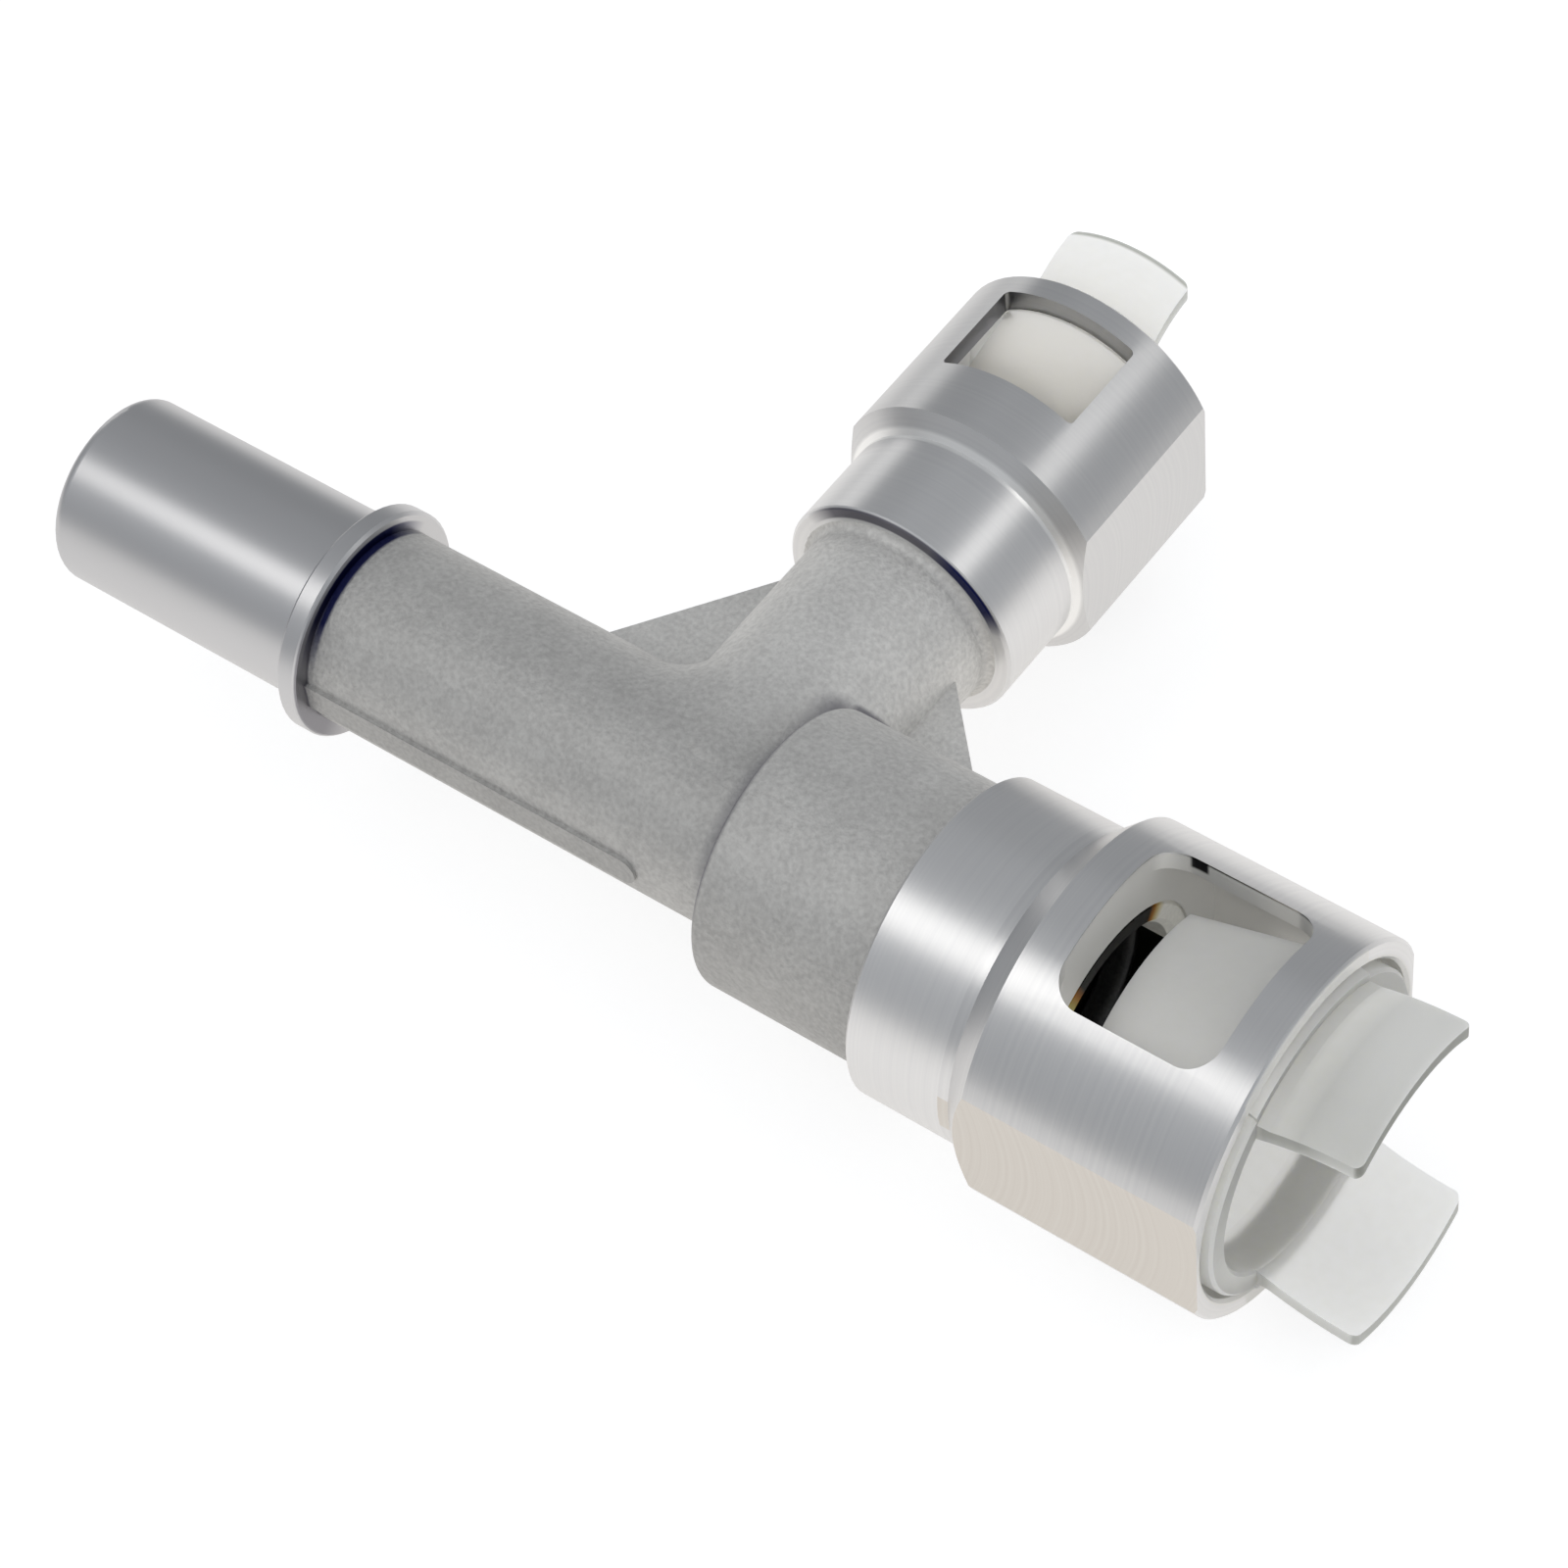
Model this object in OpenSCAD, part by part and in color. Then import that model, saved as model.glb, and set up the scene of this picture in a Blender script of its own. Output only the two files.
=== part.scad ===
// Three-way quick connector for heater hoses: a die-cast aluminium tee with a
// beaded spigot at one end of the run, a quick-connect socket at the other and
// a smaller socket on the branch. Each socket holds a moulded nylon retainer,
// two O-rings, the spacer between them and the bushing that keeps them in.
// Millimetres. The origin is the centre of the spigot where its bead begins,
// +X runs to the large socket, +Y up the branch and +Z square to both.

/* [Spigot] */
// Outside diameter of the spigot
spigot_d = 19.05; // [17.5:0.05:22]
// Length of the spigot, tip to bead
spigot_len = 29.7; // [20:0.1:40]
// Rounding of the spigot's tip
tip_round = 1.2; // [0.4:0.1:1.6]
// Outside diameter of the bead
bead_d = 23.2; // [22.6:0.1:27]
// Width of the bead, which the pipes have too
bead_w = 2.2; // [1.4:0.1:4]

/* [Casting] */
// Bore of the waterway along the run
run_bore_d = 15.4; // [10:0.1:15.6]
// Bore of the waterway up the branch
branch_bore_d = 12; // [8:0.1:14]
// Outside diameter of the cast tube of the run
run_tube_d = 19.5; // [18.6:0.1:22]
// Outside diameter of the cast tube of the branch
branch_tube_d = 20.1; // [19.8:0.1:22]
// From the bead's outer face to the branch's axis
branch_x = 42.5; // [34:0.1:60]
// Inside radius of the blend in the corner of the run and the branch
crotch_round = 2.5; // [2:0.5:10]
// Rounding of the branch tube's foot, which shows a little past the run's top
branch_foot = 3; // [1:0.1:6]
// Thickness of the two webs
web_t = 3; // [1.5:0.1:5]
// How far the blend's surface starts below the run's tube
crotch_sink = 0.05; // [0.05:0.05:0.5]
// How far the web beside the spigot reaches along the run
back_web_x = 20.8; // [14:0.1:26]
// How far the web beside the spigot reaches up the branch
back_web_y = 24.8; // [18:0.1:27]
// How far the web beside the large socket reaches along the run
front_web_x = 18.5; // [13:0.1:24]
// How far the web beside the large socket reaches up the branch
front_web_y = 22.9; // [17:0.1:27]
// Width of the parting-line strip under the run
seam_w = 3.1; // [1.5:0.1:5]
// Height of the parting-line strip above the tube
seam_h = 0.3; // [0.1:0.05:0.8]
// Bare tube between the strip's end and the branch's axis
seam_stop = 2.1; // [0:0.1:12]

/* [Large socket] */
// Outside diameter of the pipe that it takes
run_pipe_d = 19.05; // [18:0.05:20]
// Outside diameter of that pipe's bead
run_bead_d = 23.2; // [22:0.1:25]
// Radial depth of its O-ring gland
run_seal_depth = 2.575; // [2.2:0.025:3.2]
// Wall of the rough-cast barrel round its pilot bore
run_barrel_wall = 4.3; // [2.5:0.1:6]
// Wall of its turned neck round the gland
run_neck_wall = 3.6; // [2:0.1:5]
// Wall of its head between the flats
run_head_wall = 2; // [1.4:0.1:4]
// Wall of its head at the flats
run_flat_wall = 0.7; // [0.5:0.1:1.3]
// From the branch's axis to the start of the barrel
run_barrel_x = 6.8; // [5:0.1:11]
// Rounding of the barrel's edge
run_barrel_round = 1; // [0.5:0.1:2.5]
// From the branch's axis to the start of the neck
run_neck_x = 25.1; // [20:0.1:29]
// From the branch's axis to the end of the neck
run_step_x = 36.1; // [31:0.1:38]
// Length of the cone from the neck up to the head
run_step_len = 2.7; // [1:0.1:4]
// From the branch's axis to its mouth
run_mouth_x = 62.4; // [62.1:0.1:72]
// Pipe that goes in past the shelf
run_nose_len = 30; // [26:0.1:32]
// Length of its two windows
run_window_len = 15.8; // [12:0.1:18]
// Width of its two windows
run_window_w = 18.8; // [15:0.1:21]
// Corner radius of its windows
run_window_round = 3; // [0.5:0.1:5]
// From the shelf where the pipe's bead stops to the start of the windows
run_window_set = 0; // [0:0.1:2]
// Rim between the windows and the mouth
run_rim_w = 4.1; // [2.5:0.1:7]

/* [Small socket] */
// Outside diameter of the pipe that it takes
branch_pipe_d = 15.9; // [15.4:0.05:16.4]
// Outside diameter of that pipe's bead
branch_bead_d = 19.8; // [19:0.1:21]
// Radial depth of its O-ring gland
branch_seal_depth = 2.4; // [2:0.025:3]
// Wall of its turned neck round the gland
branch_neck_wall = 2.1; // [1.6:0.1:3.5]
// Wall of its head between the flats
branch_head_wall = 2.1; // [1.4:0.1:4]
// Wall of its head at the flats
branch_flat_wall = 0.65; // [0.5:0.05:1.4]
// From the run's axis to the start of the neck
branch_neck_y = 28; // [26:0.1:31]
// Fillet where the cast tube meets the neck
branch_flare = 0.9; // [0.3:0.1:2]
// From the run's axis to the end of the neck
branch_step_y = 38.4; // [34:0.1:39.5]
// Length of the cone from the neck up to the head
branch_step_len = 1.4; // [0.6:0.1:2.5]
// From the run's axis to its mouth
branch_mouth_y = 59.5; // [59:0.1:68]
// Pipe that goes in past the shelf
branch_nose_len = 25; // [22:0.1:28]
// Length of its two windows
branch_window_len = 10.6; // [8:0.1:14]
// Width of its two windows
branch_window_w = 14.5; // [12:0.1:16]
// Corner radius of its windows
branch_window_round = 0.5; // [0.3:0.1:3]
// From the shelf where the pipe's bead stops to the start of the windows
branch_window_set = 2.8; // [0:0.1:4]
// Rim between the windows and the mouth
branch_rim_w = 2.6; // [1.8:0.1:5]

/* [Large retainer] */
// Radial play between its ring and the pipe's bead
run_ring_play = 1.85; // [0.4:0.05:2.5]
// Wall of its ring
run_ring_t = 2.25; // [1:0.05:3]
// How far its ring stands out of the mouth
run_ring_proud = 0.6; // [0:0.1:2]
// Angle that each of its latch legs spans
run_leg_angle = 58; // [30:1:64]
// How far its latch legs are turned to the side away from the branch
run_leg_turn = 2.5; // [0:0.5:4]
// Thickness of its latch legs at the catch
run_catch_t = 3.8; // [2:0.1:4.6]
// How far its legs hook out into the windows
run_hook_h = 0.4; // [0.1:0.05:0.8]
// Width of its release tabs
run_tab_w = 17.4; // [12:0.1:20]
// How far its tabs stand out of the ring
run_tab_len = 10; // [6:0.1:14]
// Thickness of its tabs
run_tab_t = 1.3; // [0.8:0.05:1.6]
// How far its tabs flare outward
run_tab_flare = 1.55; // [0:0.05:3]

/* [Small retainer] */
// Radial play between its ring and the pipe's bead
branch_ring_play = 0.7; // [0.3:0.05:1.2]
// Wall of its ring
branch_ring_t = 1.35; // [1:0.05:2]
// How far its ring stands out of the mouth
branch_ring_proud = 0.5; // [0:0.1:2]
// Angle that each of its latch legs spans
branch_leg_angle = 66; // [40:1:70]
// Thickness of its latch legs at the catch
branch_catch_t = 3; // [1.6:0.1:3.4]
// How far its legs hook out into the windows
branch_hook_h = 0.15; // [0.1:0.05:0.6]
// Width of its release tabs
branch_tab_w = 13.4; // [9:0.1:15]
// How far its tabs stand out of the ring
branch_tab_len = 7.1; // [4:0.1:11]
// Thickness of its tabs
branch_tab_t = 1.1; // [0.8:0.05:1.3]
// How far its tabs flare outward
branch_tab_flare = 2.15; // [0:0.05:3]

/* [Seals] */
// Length of gland that each large O-ring fills
run_o_ring_w = 3.2; // [2.7:0.1:4]
// Length of the large spacer
run_spacer_w = 1.9; // [1:0.1:4]
// Length of the large bushing
run_bushing_w = 3.8; // [3:0.1:6]
// Length of gland that each small O-ring fills
branch_o_ring_w = 3; // [2.5:0.1:3.6]
// Length of the small spacer
branch_spacer_w = 1.6; // [1:0.1:3]
// Length of the small bushing
branch_bushing_w = 3.4; // [3:0.1:5]
// Height of the snap rib round a bushing
rib_h = 0.35; // [0.15:0.05:0.6]
// Width of the snap rib round a bushing
rib_w = 1; // [0.6:0.1:1.6]

/* [Fits and edges] */
// Radial clearance of a pipe in its pilot bore
pipe_gap = 0.125; // [0.05:0.025:0.3]
// Further radial clearance of the spacers and bushings
ring_gap = 0.1; // [0.05:0.05:0.4]
// Radial clearance between an O-ring or a bushing and the wall that it presses on
skin_gap = 0.02; // [0.01:0.01:0.1]
// Radial gap between a retainer's ring and the head's bore
oval_gap = 0.6; // [0.3:0.05:1]
// Radial clearance of a retainer's pads in the head's bore
pad_gap = 0.15; // [0.05:0.05:0.25]
// Clearance between a hook and the window's edge
hook_gap = 0.2; // [0.1:0.05:0.5]
// Axial play of a bead between the shelf and the catches
bead_play = 2; // [0.5:0.1:3]
// Radial clearance between the catches and the pipe
catch_gap = 0.6; // [0.3:0.05:1.2]
// Chamfer of the turned edges
turned_edge = 0.3; // [0.1:0.05:0.5]
// Chamfer of the moulded edges
moulded_edge = 0.3; // [0.1:0.05:0.4]
// Corner radius of the tabs
tab_corner = 0.8; // [0.3:0.1:2]

/* [Hidden] */
$fn = 96;

spigot_r = spigot_d / 2;
bead_r = bead_d / 2;
run_tube_r = run_tube_d / 2;
branch_tube_r = branch_tube_d / 2;

run_pipe_r = run_pipe_d / 2;
run_pilot_r = run_pipe_r + pipe_gap;
run_seal_r = run_pipe_r + run_seal_depth;
run_barrel_r = run_pilot_r + run_barrel_wall;
run_neck_r = run_seal_r + run_neck_wall;
run_ring_in = run_bead_d / 2 + run_ring_play;
run_ring_out = run_ring_in + run_ring_t;
run_mouth_r = run_ring_out + oval_gap;
run_head_r = run_mouth_r + run_head_wall;
run_rim_x = run_mouth_x - run_rim_w;
run_window_x = run_rim_x - run_window_len;
run_shelf_x = run_window_x - run_window_set;
run_pilot_x = run_shelf_x - run_nose_len;
run_gland_x = run_shelf_x - 2 * run_o_ring_w - run_spacer_w - run_bushing_w;
run_spacer_x = run_gland_x + run_o_ring_w;
run_outer_seal_x = run_spacer_x + run_spacer_w;
run_bushing_x = run_outer_seal_x + run_o_ring_w;

branch_pipe_r = branch_pipe_d / 2;
branch_pilot_r = branch_pipe_r + pipe_gap;
branch_seal_r = branch_pipe_r + branch_seal_depth;
branch_neck_r = branch_seal_r + branch_neck_wall;
branch_ring_in = branch_bead_d / 2 + branch_ring_play;
branch_ring_out = branch_ring_in + branch_ring_t;
branch_mouth_r = branch_ring_out + oval_gap;
branch_head_r = branch_mouth_r + branch_head_wall;
branch_rim_y = branch_mouth_y - branch_rim_w;
branch_window_y = branch_rim_y - branch_window_len;
branch_shelf_y = branch_window_y - branch_window_set;
branch_pilot_y = branch_shelf_y - branch_nose_len;
branch_gland_y = branch_shelf_y - 2 * branch_o_ring_w - branch_spacer_w - branch_bushing_w;
branch_spacer_y = branch_gland_y + branch_o_ring_w;
branch_outer_seal_y = branch_spacer_y + branch_spacer_w;
branch_bushing_y = branch_outer_seal_y + branch_o_ring_w;

// Cuts run this far past the faces that they open
past = 1;
cast_aluminium = [0.62, 0.62, 0.62];
natural_nylon = [0.86, 0.87, 0.84];
seal_rubber = [0.06, 0.06, 0.06];
spacer_plastic = [0.2, 0.2, 0.2];
bushing_plastic = [0.2, 0.14, 0.05];

// Places what is drawn up the z axis, from the crossing of the two axes, on
// the run or on the branch. The drawing's x axis, where windows, legs and tabs
// are, ends up along Z.
module along_run() {
    translate([branch_x, 0, 0]) rotate([0, 90, 0]) children();
}

module along_branch() {
    translate([branch_x, 0, 0]) rotate([-90, 0, 0]) rotate([0, 0, 90]) children();
}

// A solid of revolution from its outline in [radius, height] points
module turned(outline) {
    rotate_extrude() polygon(outline);
}

// A rectangle with round corners, from the origin into the first quadrant
module round_rect(length, width, corner) {
    translate([corner, 0]) square([length - 2 * corner, width]);
    translate([0, corner]) square([length, width - 2 * corner]);
    for (x = [corner, length - corner], y = [corner, width - corner])
        translate([x, y]) circle(corner);
}

// A disc of radius r from the height start to stop, with the edge at its start
// rounded to a quarter circle
module round_edged(r, start, stop, round) {
    rotate_extrude() {
        translate([0, start + round]) square([r, stop - start - round]);
        translate([0, start]) square([r - round, stop - start]);
        translate([r - round, start + round]) circle(round);
    }
}

// The spigot, its bead and the cast tube as far as the branch
module spigot() {
    round_edged(spigot_r, -branch_x - spigot_len, -branch_x + bead_w / 2, tip_round);
    translate([0, 0, -branch_x]) turned([
        [0, 0], [bead_r - turned_edge, 0], [bead_r, turned_edge],
        [bead_r, bead_w - turned_edge], [bead_r - turned_edge, bead_w], [0, bead_w]]);
    translate([0, 0, -branch_x + bead_w / 2])
        cylinder(h = branch_x - bead_w / 2 + run_barrel_x + past, r = run_tube_r);
}

// An elbow of nearly the run tube's section fills the corner towards the
// spigot, so that the tubes meet in a smooth round
module crotch_blend() {
    bend = crotch_round + run_tube_r;
    translate([branch_x - bend, bend, 0]) rotate([0, 0, -90])
        rotate_extrude(angle = 90) translate([bend, 0]) circle(run_tube_r - crotch_sink);
}

// The two flat webs that brace the branch against the run
module webs() {
    translate([branch_x, 0, -web_t / 2]) linear_extrude(web_t) {
        polygon([[0, 0], [-back_web_x, 0], [-back_web_x, run_tube_r],
            [-branch_tube_r, back_web_y], [0, back_web_y]]);
        polygon([[0, 0], [front_web_x, 0], [front_web_x, run_barrel_r],
            [branch_tube_r, front_web_y], [0, front_web_y]]);
    }
}

// The raised strip that the mould's parting line leaves under the run
module seam() {
    seam_x = branch_x - seam_stop - seam_w / 2;
    translate([bead_w / 2, -run_tube_r - seam_h, -seam_w / 2])
        cube([seam_x - bead_w / 2, run_tube_r, seam_w]);
    translate([seam_x, 0, 0]) rotate([90, 0, 0]) cylinder(h = run_tube_r + seam_h, r = seam_w / 2);
}

// The turned outside of a socket: neck, cone and head, with two flats
module socket_skin(neck_r, head_r, flats_r, neck_z, step_z, head_z, mouth_z) {
    intersection() {
        turned([[0, neck_z], [neck_r - turned_edge, neck_z], [neck_r, neck_z + turned_edge],
            [neck_r, step_z], [head_r, head_z], [head_r, mouth_z - turned_edge],
            [head_r - turned_edge, mouth_z], [0, mouth_z]]);
        translate([-head_r, -flats_r, neck_z]) cube([2 * head_r, 2 * flats_r, mouth_z - neck_z]);
    }
}

// Everything that is bored and milled out of a socket
module socket_cuts(bore_r, pilot_r, seal_r, mouth_r, pilot_z, gland_z, rib_z, shelf_z, mouth_z) {
    translate([0, 0, pilot_z]) cylinder(h = gland_z - pilot_z + past, r = pilot_r);
    turned([[0, gland_z], [seal_r, gland_z], [seal_r, rib_z - skin_gap],
        [seal_r + rib_h, rib_z - skin_gap + rib_h], [seal_r + rib_h, rib_z + rib_w + skin_gap],
        [seal_r, rib_z + rib_w + skin_gap], [seal_r, shelf_z + past], [0, shelf_z + past]]);
    turned([[0, shelf_z], [mouth_r, shelf_z], [mouth_r, mouth_z - turned_edge],
        [mouth_r + turned_edge, mouth_z], [mouth_r + turned_edge, mouth_z + past], [0, mouth_z + past]]);
    cylinder(h = pilot_z + past, r = bore_r);
}

// A bar with round corners that runs right across the socket where its windows,
// legs and tabs are
module across(start, stop, width, corner, reach) {
    rotate([0, -90, 0]) translate([start, -width / 2, -reach])
        linear_extrude(2 * reach) round_rect(stop - start, width, corner);
}

// The tee: one casting, turned, bored and milled at its three ends
module tee_body() {
    color(cast_aluminium) difference() {
        union() {
            along_run() spigot();
            crotch_blend();
            webs();
            seam();
            along_run() {
                round_edged(run_barrel_r, run_barrel_x, run_neck_x + past, run_barrel_round);
                socket_skin(run_neck_r, run_head_r, run_mouth_r + run_flat_wall,
                    run_neck_x, run_step_x, run_step_x + run_step_len, run_mouth_x);
            }
            along_branch() {
                round_edged(branch_tube_r, -branch_foot, branch_neck_y + past, branch_foot);
                rotate_extrude() translate([branch_tube_r, branch_neck_y]) difference() {
                    translate([-past, -branch_flare]) square([past + branch_flare, branch_flare + past]);
                    translate([branch_flare, -branch_flare]) circle(branch_flare);
                }
                socket_skin(branch_neck_r, branch_head_r, branch_mouth_r + branch_flat_wall,
                    branch_neck_y, branch_step_y, branch_step_y + branch_step_len, branch_mouth_y);
            }
        }
        along_run() {
            translate([0, 0, -branch_x - spigot_len - past])
                cylinder(h = branch_x + spigot_len + 2 * past, r = run_bore_d / 2);
            socket_cuts(run_bore_d / 2, run_pilot_r, run_seal_r, run_mouth_r, run_pilot_x,
                run_gland_x, run_bushing_x + run_bushing_w / 3, run_shelf_x, run_mouth_x);
            across(run_window_x, run_rim_x, run_window_w, run_window_round, run_head_r + past);
        }
        along_branch() {
            socket_cuts(branch_bore_d / 2, branch_pilot_r, branch_seal_r, branch_mouth_r, branch_pilot_y,
                branch_gland_y, branch_bushing_y + branch_bushing_w / 3, branch_shelf_y, branch_mouth_y);
            across(branch_window_y, branch_rim_y, branch_window_w, branch_window_round, branch_head_r + past);
        }
    }
}

// How far a tab has flared at the share t of its length: fast at its root
function flared(t) = 1 - (1 - t) * (1 - t);

// A retainer: a ring in the socket's mouth, two legs that latch behind the
// pipe's bead and hook into the windows, and two tabs that are squeezed to
// rock the legs outward. A leg stands out of the head's bore only inside its
// window.
module retainer(pipe_r, ring_in, ring_out, shelf_z, bead_len, rim_z, mouth_z, proud,
        window_w, window_round, leg_angle, leg_turn, catch_t, hook_h, tab_w, tab_len, tab_t, tab_flare) {
    pad_r = ring_out + oval_gap - pad_gap;
    hook_r = ring_out + oval_gap + hook_h;
    catch_r = pipe_r + catch_gap;
    leg_z = shelf_z + bead_len + bead_play;
    ring_z = rim_z - hook_gap;
    face_z = mouth_z + proud;
    tip_z = face_z + tab_len;
    reach = hook_r + tab_flare + tab_t;
    steps = 8;
    turned([[ring_in, ring_z], [ring_out, ring_z], [ring_out, face_z - moulded_edge],
        [ring_out - moulded_edge, face_z], [ring_in + moulded_edge, face_z],
        [ring_in, face_z - moulded_edge]]);
    intersection() {
        turned([[ring_in, ring_z], [pad_r, ring_z], [pad_r, mouth_z - turned_edge],
            [pad_r - moulded_edge, face_z], [ring_in, face_z]]);
        across(ring_z - past, face_z + past, tab_w, moulded_edge, reach);
    }
    for (side = [0, 1]) mirror([side, 0, 0]) intersection() {
        rotate([0, 0, -leg_turn - leg_angle / 2]) rotate_extrude(angle = leg_angle)
            polygon([[catch_r, leg_z], [catch_r + catch_t, leg_z], [hook_r, ring_z],
                [ring_in + moulded_edge, ring_z], [ring_in + moulded_edge, mouth_z], [ring_in, mouth_z],
                [ring_in, ring_z], [catch_r, leg_z + bead_play]]);
        union() {
            cylinder(h = mouth_z + past, r = pad_r - pad_gap);
            across(leg_z - past, ring_z + hook_gap / 2, window_w - 2 * hook_gap, window_round, reach);
        }
    }
    intersection() {
        turned(concat(
            [[ring_in, mouth_z]],
            [for (i = [0 : steps]) [ring_in + tab_flare * flared(i / steps), face_z + tab_len * i / steps]],
            [for (i = [steps : -1 : 1])
                [ring_in + tab_t + tab_flare * flared(i / steps), face_z + tab_len * i / steps]],
            [[ring_in + tab_t + moulded_edge, face_z], [ring_in + tab_t, mouth_z]]));
        across(mouth_z - 2 * tab_corner, tip_z, tab_w, tab_corner, reach);
    }
}

module run_retainer() {
    color(natural_nylon) along_run() retainer(run_pipe_r, run_ring_in, run_ring_out, run_shelf_x, bead_w,
        run_rim_x, run_mouth_x, run_ring_proud, run_window_w, run_window_round, run_leg_angle, run_leg_turn,
        run_catch_t, run_hook_h, run_tab_w, run_tab_len, run_tab_t, run_tab_flare);
}

module branch_retainer() {
    color(natural_nylon) along_branch() retainer(branch_pipe_r, branch_ring_in, branch_ring_out,
        branch_shelf_y, bead_w, branch_rim_y, branch_mouth_y, branch_ring_proud, branch_window_w,
        branch_window_round, branch_leg_angle, 0, branch_catch_t, branch_hook_h, branch_tab_w,
        branch_tab_len, branch_tab_t, branch_tab_flare);
}

// An O-ring as it sits when a pipe is in: pressed flat inside and outside,
// with round flanks that just touch its neighbours
module o_ring(pipe_r, seal_r, start, width) {
    inner = pipe_r + skin_gap;
    height = seal_r - skin_gap - inner;
    color(seal_rubber) rotate_extrude() {
        translate([inner, start + height / 2]) square([height, width - height]);
        for (z = [height / 2, width - height / 2])
            translate([inner + height / 2, start + z]) circle(height / 2);
    }
}

// The flat ring between the two O-rings
module spacer(pilot_r, seal_r, start, width) {
    color(spacer_plastic) turned([[pilot_r + ring_gap, start], [seal_r - ring_gap, start],
        [seal_r - ring_gap, start + width], [pilot_r + ring_gap, start + width]]);
}

// The bushing that closes the gland: its rib snaps into the groove of the
// casting, and its bore is chamfered to lead the pipe in
module bushing(pilot_r, seal_r, start, width) {
    inner = pilot_r + ring_gap;
    outer = seal_r - skin_gap;
    rib_z = start + width / 3;
    color(bushing_plastic) turned([[inner, start], [outer, start], [outer, rib_z],
        [outer + rib_h, rib_z + rib_h], [outer + rib_h, rib_z + rib_w], [outer, rib_z + rib_w],
        [outer, start + width - moulded_edge], [outer - moulded_edge, start + width],
        [inner + 2 * moulded_edge, start + width], [inner, start + width - 2 * moulded_edge]]);
}

module run_inner_o_ring() {
    along_run() o_ring(run_pipe_r, run_seal_r, run_gland_x, run_o_ring_w);
}

module run_spacer() {
    along_run() spacer(run_pilot_r, run_seal_r, run_spacer_x, run_spacer_w);
}

module run_outer_o_ring() {
    along_run() o_ring(run_pipe_r, run_seal_r, run_outer_seal_x, run_o_ring_w);
}

module run_bushing() {
    along_run() bushing(run_pilot_r, run_seal_r, run_bushing_x, run_bushing_w);
}

module branch_inner_o_ring() {
    along_branch() o_ring(branch_pipe_r, branch_seal_r, branch_gland_y, branch_o_ring_w);
}

module branch_spacer() {
    along_branch() spacer(branch_pilot_r, branch_seal_r, branch_spacer_y, branch_spacer_w);
}

module branch_outer_o_ring() {
    along_branch() o_ring(branch_pipe_r, branch_seal_r, branch_outer_seal_y, branch_o_ring_w);
}

module branch_bushing() {
    along_branch() bushing(branch_pilot_r, branch_seal_r, branch_bushing_y, branch_bushing_w);
}

tee_body();
run_retainer();
branch_retainer();
run_inner_o_ring();
run_spacer();
run_outer_o_ring();
run_bushing();
branch_inner_o_ring();
branch_spacer();
branch_outer_o_ring();
branch_bushing();
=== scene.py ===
# A heater hose connector: a cast aluminium tee with a beaded spigot and two
# windowed sockets, each with its nylon retainer, two O-rings, spacer and bushing
import math
import bpy
from mathutils import Matrix, Vector


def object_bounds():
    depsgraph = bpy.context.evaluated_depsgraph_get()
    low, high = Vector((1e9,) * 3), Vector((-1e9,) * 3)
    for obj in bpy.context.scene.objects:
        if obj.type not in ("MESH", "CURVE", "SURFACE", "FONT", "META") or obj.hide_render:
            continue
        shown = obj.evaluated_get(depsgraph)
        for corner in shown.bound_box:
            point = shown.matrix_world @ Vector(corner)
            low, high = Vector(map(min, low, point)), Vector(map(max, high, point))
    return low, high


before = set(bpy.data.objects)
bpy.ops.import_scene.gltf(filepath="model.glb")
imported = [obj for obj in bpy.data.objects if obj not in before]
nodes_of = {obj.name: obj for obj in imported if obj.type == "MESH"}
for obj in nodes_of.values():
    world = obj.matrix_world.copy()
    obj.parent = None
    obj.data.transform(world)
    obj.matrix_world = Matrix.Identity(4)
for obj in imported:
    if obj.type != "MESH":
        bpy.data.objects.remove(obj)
cad_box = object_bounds()


# Camera
# It looks down on the tee through a long lens, from beyond the large socket's
# side, and it is slightly rolled.
view_azimuth = math.radians(41.59)
view_elevation = math.radians(52.34)
view_roll = math.radians(-6.91)
camera_place = (0.2305, -0.2027, 0.3612)
camera = bpy.data.objects.new("camera", bpy.data.cameras.new("camera"))
camera.data.sensor_fit = "HORIZONTAL"
camera.data.sensor_width = 36
camera.data.lens = 115.8
camera.data.clip_start = 0.01
turn = (Matrix.Rotation(view_azimuth, 4, "Z")
        @ Matrix.Rotation(math.pi / 2 - view_elevation, 4, "X")
        @ Matrix.Rotation(view_roll, 4, "Z"))
camera.matrix_world = Matrix.Translation(camera_place) @ turn
bpy.context.collection.objects.link(camera)
bpy.context.scene.camera = camera
bpy.context.scene.view_settings.view_transform = "Standard"


# Floor and backdrop
# A plain white table that runs on as the background. The camera and clear plastic
# see it nearly white, and it keeps the tee's soft shadow; in the tee's gloss it
# glows as painted light, warm, brightest near the tee and fading further off.
floor_size = 8.0
floor_colour = (0.86, 0.86, 0.86, 1)
floor_glow = 0.5
floor_white = 1.45
white = (1, 1, 1, 1)
reflection_warmth = (1.0, 0.965, 0.925, 1)
reflection_glow_near = 1.35
reflection_glow_far = 0.3
fade_start = 0.06
fade_end = 0.3
sky_colour = (0.94, 0.965, 1.0, 1)
sky_level = 0.78
sky_gloss = 0.42
sky_patch_scale = 2.5
sky_patch_depth = 0.3
sky_slope_depth = 0.12
sky_darker = Vector((-0.5, 0.7, -0.5))


def new_material(name):
    material = bpy.data.materials.new(name)
    material.use_nodes = True
    tree = material.node_tree
    tree.nodes.clear()
    output = tree.nodes.new("ShaderNodeOutputMaterial")
    return material, tree, output


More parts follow.
